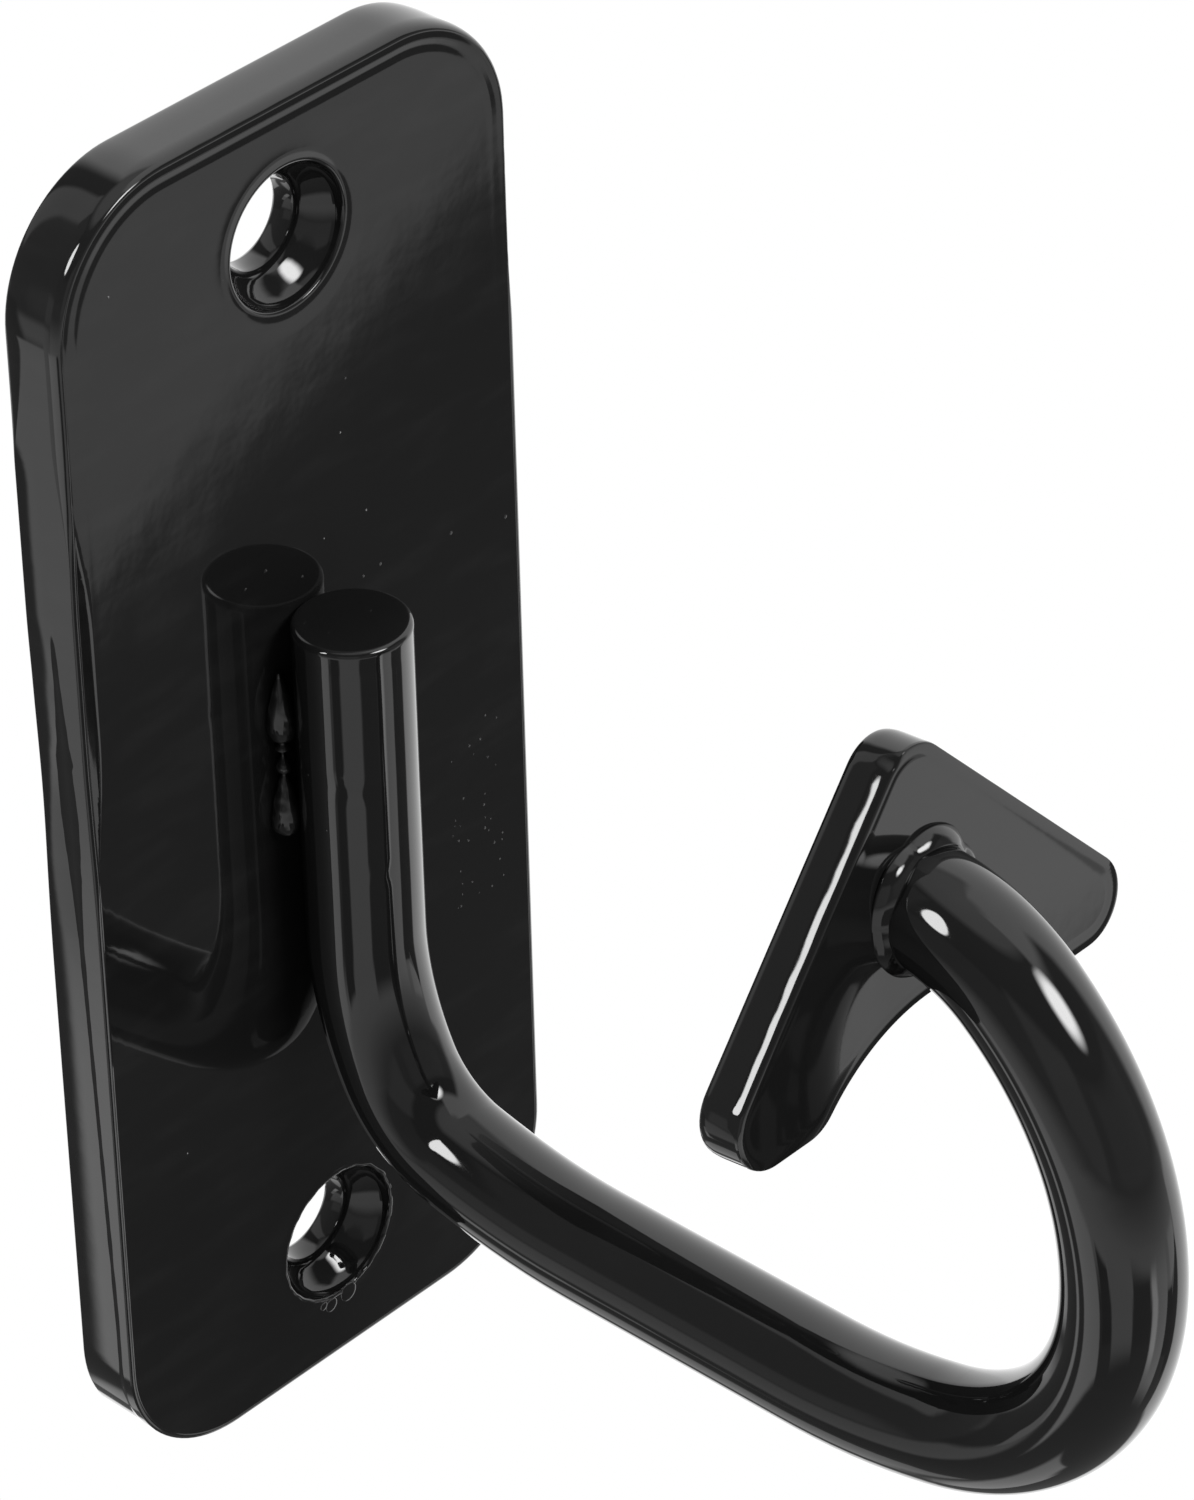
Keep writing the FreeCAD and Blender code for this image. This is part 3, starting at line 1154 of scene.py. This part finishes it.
@dataclass
class Studio:
    """Soft studio light all round, a pale floor, and the view settings."""

    floor_half: float = 3.0
    white: float = 1.0
    level: float = 0.8
    # The glow of the plain surroundings, by elevation.
    sky: Pairs = (
        (-64, 0.25), (-36, 0.22), (-30, 1.2), (-20, 1.0), (-12, 0.6), (-5, 0.28),
        (20, 0.25), (24, 0.15), (58, 0.15), (66, 0.9), (90, 1.0),
    )

    def build(self) -> None:
        """Make the light, the floor and the view settings."""
        self._world()
        self._floor()
        view = bpy.context.scene.view_settings
        view.view_transform = "Standard"
        view.look = "None"

    def cards(self) -> list[Card]:
        """Return the patches of the surroundings, each laid over those before it."""
        return [
            # Boards above the horizon.
            Card(-53, 10, 18, 16, 0.48, 8),
            Card(12, 8, 33, 12, 0.36, 10),
            Card(112, 12, 48, 48, 1.75, 14),
            Card(60, 64, 45, 17, 1.8, 12),
            # Boards on the left, which the plate's side and corner mirror.
            Card(-162, 36, 14, 22, 0.9, 6),
            Card(-133, 16, 17, 40, 0.28, 6),
            Card(-121, -4, 8, 9, 0.52, 6),
            Card(-127, -25, 10, 10, 0.85, 6),
            Card(-150, -30, 14, 20, 0.2, 4),
            Card(-108.5, -38, 15.5, 8.5, 1.7, 3),
            Card(-138.5, -33, 3, 4.5, 1.1, 1.5),
            Card(-138.5, -39.5, 3, 3.5, 1.75, 3),
            # Bands below the horizon, which the stem mirrors.
            Card(-53, -36, 18, 9, 1.05, 3, end_soft=9),
            Card(15, -42, 15, 18, 1.5, 3, end_soft=12),
            Card(6, -38, 5, 12, 3.2, 5, end_soft=12),
            Card(-80.5, -35.5, 7.5, 6, 0.15, 2),
            Card(178, -42, 14, 4.5, 1.3, 3),
            Card(-18, -34, 15, 9, 0.17, 3, end_soft=9),
            # The bright and the dark boards that part the plate's face.
            Card(45, -25.5, 8, 5, 1.5, 3),
            Card(45.5, -34.1, 6, 5, 0.82, 0.5, 22.8),
            Card(50.9, -38.97, 12, 10, 0.14, 0.4, 40.4),
            Card(36, -40, 5.3, 8, 0.14, 1),
            # Pale boards low on the right and behind.
            Card(108, -38, 52, 24, 1.9, 4),
            Card(-163, -58, 20, 6, 1.1, 3),
            Card(-145, -76, 45, 9, 1.4, 5),
            # Lamps.
            Card(9, 42, 22, 13, 24.0, 8, shape=CardShape.OVAL),
            Card(-104.5, 35.5, 7, 12, 22.0, 2, shape=CardShape.OVAL),
        ]

    def _world(self) -> None:
        """Make the surroundings that the gloss mirrors; the camera itself sees plain white."""
        world = bpy.data.worlds.new("studio")
        bpy.context.scene.world = world
        bench = Bench.fresh(world)
        coords = bench.make("ShaderNodeTexCoord", None, None, "Generated")
        parts = {axis: bench.make("ShaderNodeSeparateXYZ", None, {0: coords}, axis) for axis in "XYZ"}
        degrees = 180 / math.pi
        elevation = parts["Z"].arcsine() * degrees
        azimuth = parts["X"].bearing(parts["Y"] * -1) * degrees
        stops = [(angle / 180 + 0.5, level) for angle, level in self.sky]
        glow = bench.make("ShaderNodeValToRGB", {"stops": stops}, {"Fac": elevation / 180 + 0.5})
        cards = self.cards()
        for card in cards:
            mask = card.mask(bench, azimuth, elevation)
            glow = glow + mask * (card.glow - glow)
        seen = bench.make("ShaderNodeLightPath", None, None, "Is Camera Ray")
        glow = glow * self.level
        strength = glow + seen * (self.white - glow)
        shade = bench.make("ShaderNodeBackground", None, {"Color": grey(1.0), "Strength": strength})
        bench.make("ShaderNodeOutputWorld", None, {"Surface": shade})
        log.info("studio has %d cards", len(cards))

    def _floor(self) -> None:
        """Lay a plain white floor level with the plate's foot, seen by the camera alone."""
        draft = bmesh.new()
        bmesh.ops.create_grid(draft, x_segments=1, y_segments=1, size=self.floor_half)
        bmesh.ops.translate(draft, vec=UP * CAD_BOX[0][2], verts=draft.verts)
        mesh = bpy.data.meshes.new("floor")
        draft.to_mesh(mesh)
        draft.free()
        floor = bpy.data.objects.new("floor", mesh)
        bpy.context.scene.collection.objects.link(floor)
        material = bpy.data.materials.new("floor_white")
        bench = Bench.fresh(material)
        shade = bench.make("ShaderNodeEmission", None, {"Strength": self.white})
        bench.make("ShaderNodeOutputMaterial", None, {"Surface": shade})
        mesh.materials.append(material)
        for ray in ("diffuse", "glossy", "transmission", "shadow", "volume_scatter"):
            setattr(floor, f"visible_{ray}", False)


@dataclass
class PhotoCamera:
    """The camera at the photograph's place and angle."""

    azimuth: float = -46.645
    elevation: float = 34.711
    roll: float = 1.451
    place: Vector = Vector((-348.352, -366.601, 347.092))
    focal_pixels: float = 7449.355
    image_height: int = 1500
    sensor: float = 36.0
    clip_start: float = 0.01

    def build(self) -> None:
        """Make the camera and look through it."""
        turn, tilt, roll = (math.radians(angle) for angle in (self.azimuth, self.elevation, self.roll))
        ahead = Vector(
            (-math.sin(turn) * math.cos(tilt), math.cos(turn) * math.cos(tilt), -math.sin(tilt))
        )
        level = Vector((math.cos(turn), math.sin(turn), 0))
        down = ahead.cross(level)
        right = level * math.cos(roll) + down * math.sin(roll)
        below = down * math.cos(roll) - level * math.sin(roll)
        lens = bpy.data.cameras.new("photo_camera")
        lens.lens = self.focal_pixels * self.sensor / self.image_height
        lens.sensor_width = self.sensor
        lens.clip_start = self.clip_start
        camera = bpy.data.objects.new("photo_camera", lens)
        axes = Matrix((right, -below, -ahead)).transposed().to_4x4()
        camera.matrix_world = Matrix.Translation(self.place * MM) @ axes
        bpy.context.scene.collection.objects.link(camera)
        bpy.context.scene.camera = camera


def main() -> None:
    """Build the hook piece by piece and light it."""
    logging.basicConfig(level=logging.INFO, format="%(name)s: %(message)s")
    tab = KeeperTab()
    BackPlate().build()
    bar = HookBar()
    bar.build(tab)
    tab.build()
    PlateWeld("plate_weld_left", -1).build()
    PlateWeld("plate_weld_right", 1).build()
    TabWeld().build(bar, tab)
    Studio().build()
    PhotoCamera().build()


if __name__ == "__main__":
    main()
